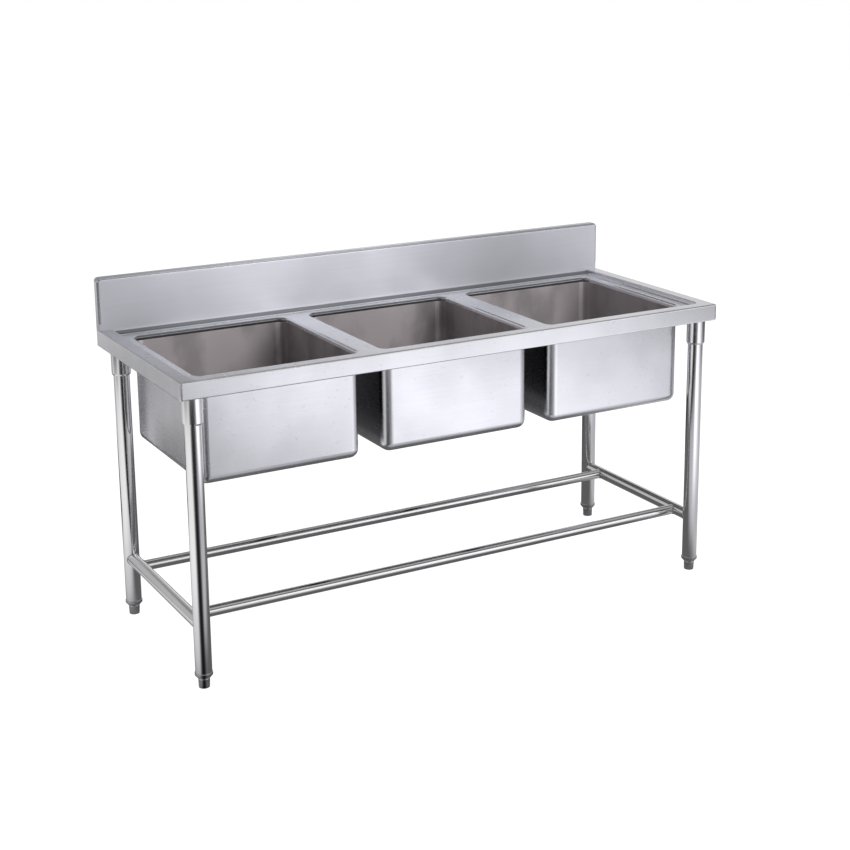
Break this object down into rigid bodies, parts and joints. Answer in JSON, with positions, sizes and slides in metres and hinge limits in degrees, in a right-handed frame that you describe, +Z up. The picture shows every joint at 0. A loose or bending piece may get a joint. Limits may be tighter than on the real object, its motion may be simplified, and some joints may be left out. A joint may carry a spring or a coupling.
{
  "type": "three compartment sink",
  "caption": "Free-standing steel kitchen sink with a row of deep rectangular bowls, a backsplash, tube legs with lower rails, levelling feet and lift-out strainer baskets.",
  "frame": {"origin": "on the floor, under the middle of the deck and backsplash footprint", "axes": "+X to the right along the sink, +Y to the wall behind it, +Z up"},
  "size_m": [1.8, 0.7, 1.06],
  "materials": {
    "satin_steel": "satin brushed stainless sheet",
    "channel_steel": "mill finish stainless sheet",
    "polished_tube": "polished stainless tube",
    "foot_steel": "turned stainless",
    "fitting_steel": "polished pressed stainless",
    "nut_brass": "cast, dull",
    "rubber": "matt black",
    "screw_steel": "plain"
  },
  "bodies": {
    "sink": {"deck_top": "satin_steel", "backsplash": "satin_steel", "bowl_left": "satin_steel", "bowl_middle": "satin_steel", "bowl_right": "satin_steel", "end_channel_left": "channel_steel", "end_channel_right": "channel_steel", "divider_channel_left": "channel_steel", "divider_channel_right": "channel_steel", "strainer_body_left": "fitting_steel", "strainer_nut_left": "nut_brass", "strainer_gasket_left": "rubber", "strainer_body_middle": "fitting_steel", "strainer_nut_middle": "nut_brass", "strainer_gasket_middle": "rubber", "strainer_body_right": "fitting_steel", "strainer_nut_right": "nut_brass", "strainer_gasket_right": "rubber", "leg_front_left": "polished_tube", "leg_socket_front_left": "polished_tube", "foot_collar_front_left": "foot_steel", "leg_front_right": "polished_tube", "leg_socket_front_right": "polished_tube", "foot_collar_front_right": "foot_steel", "leg_back_left": "polished_tube", "leg_socket_back_left": "polished_tube", "foot_collar_back_left": "foot_steel", "leg_back_right": "polished_tube", "leg_socket_back_right": "polished_tube", "foot_collar_back_right": "foot_steel", "end_rail_left": "polished_tube", "end_rail_right": "polished_tube", "front_rail": "polished_tube", "back_rail": "polished_tube", "socket_set_screws": "screw_steel"},
    "foot_front_left": {"foot_front_left": "foot_steel"},
    "foot_front_right": {"foot_front_right": "foot_steel"},
    "foot_back_left": {"foot_back_left": "foot_steel"},
    "foot_back_right": {"foot_back_right": "foot_steel"},
    "basket_left": {"strainer_basket_left": "fitting_steel", "basket_seal_left": "rubber"},
    "basket_middle": {"strainer_basket_middle": "fitting_steel", "basket_seal_middle": "rubber"},
    "basket_right": {"strainer_basket_right": "fitting_steel", "basket_seal_right": "rubber"}
  },
  "joints": [
    {"name": "foot_front_left_screw", "type": "slide", "parent": "sink", "child": "foot_front_left", "axis": [0, 0, -1], "range_m": [0, 0.025]},
    {"name": "foot_front_right_screw", "type": "slide", "parent": "sink", "child": "foot_front_right", "axis": [0, 0, -1], "range_m": [0, 0.025]},
    {"name": "foot_back_left_screw", "type": "slide", "parent": "sink", "child": "foot_back_left", "axis": [0, 0, -1], "range_m": [0, 0.025]},
    {"name": "foot_back_right_screw", "type": "slide", "parent": "sink", "child": "foot_back_right", "axis": [0, 0, -1], "range_m": [0, 0.025]},
    {"name": "basket_left_lift", "type": "slide", "parent": "sink", "child": "basket_left", "axis": [0, 0, 1], "range_m": [0, 0.54]},
    {"name": "basket_middle_lift", "type": "slide", "parent": "sink", "child": "basket_middle", "axis": [0, 0, 1], "range_m": [0, 0.54]},
    {"name": "basket_right_lift", "type": "slide", "parent": "sink", "child": "basket_right", "axis": [0, 0, 1], "range_m": [0, 0.54]}
  ]
}
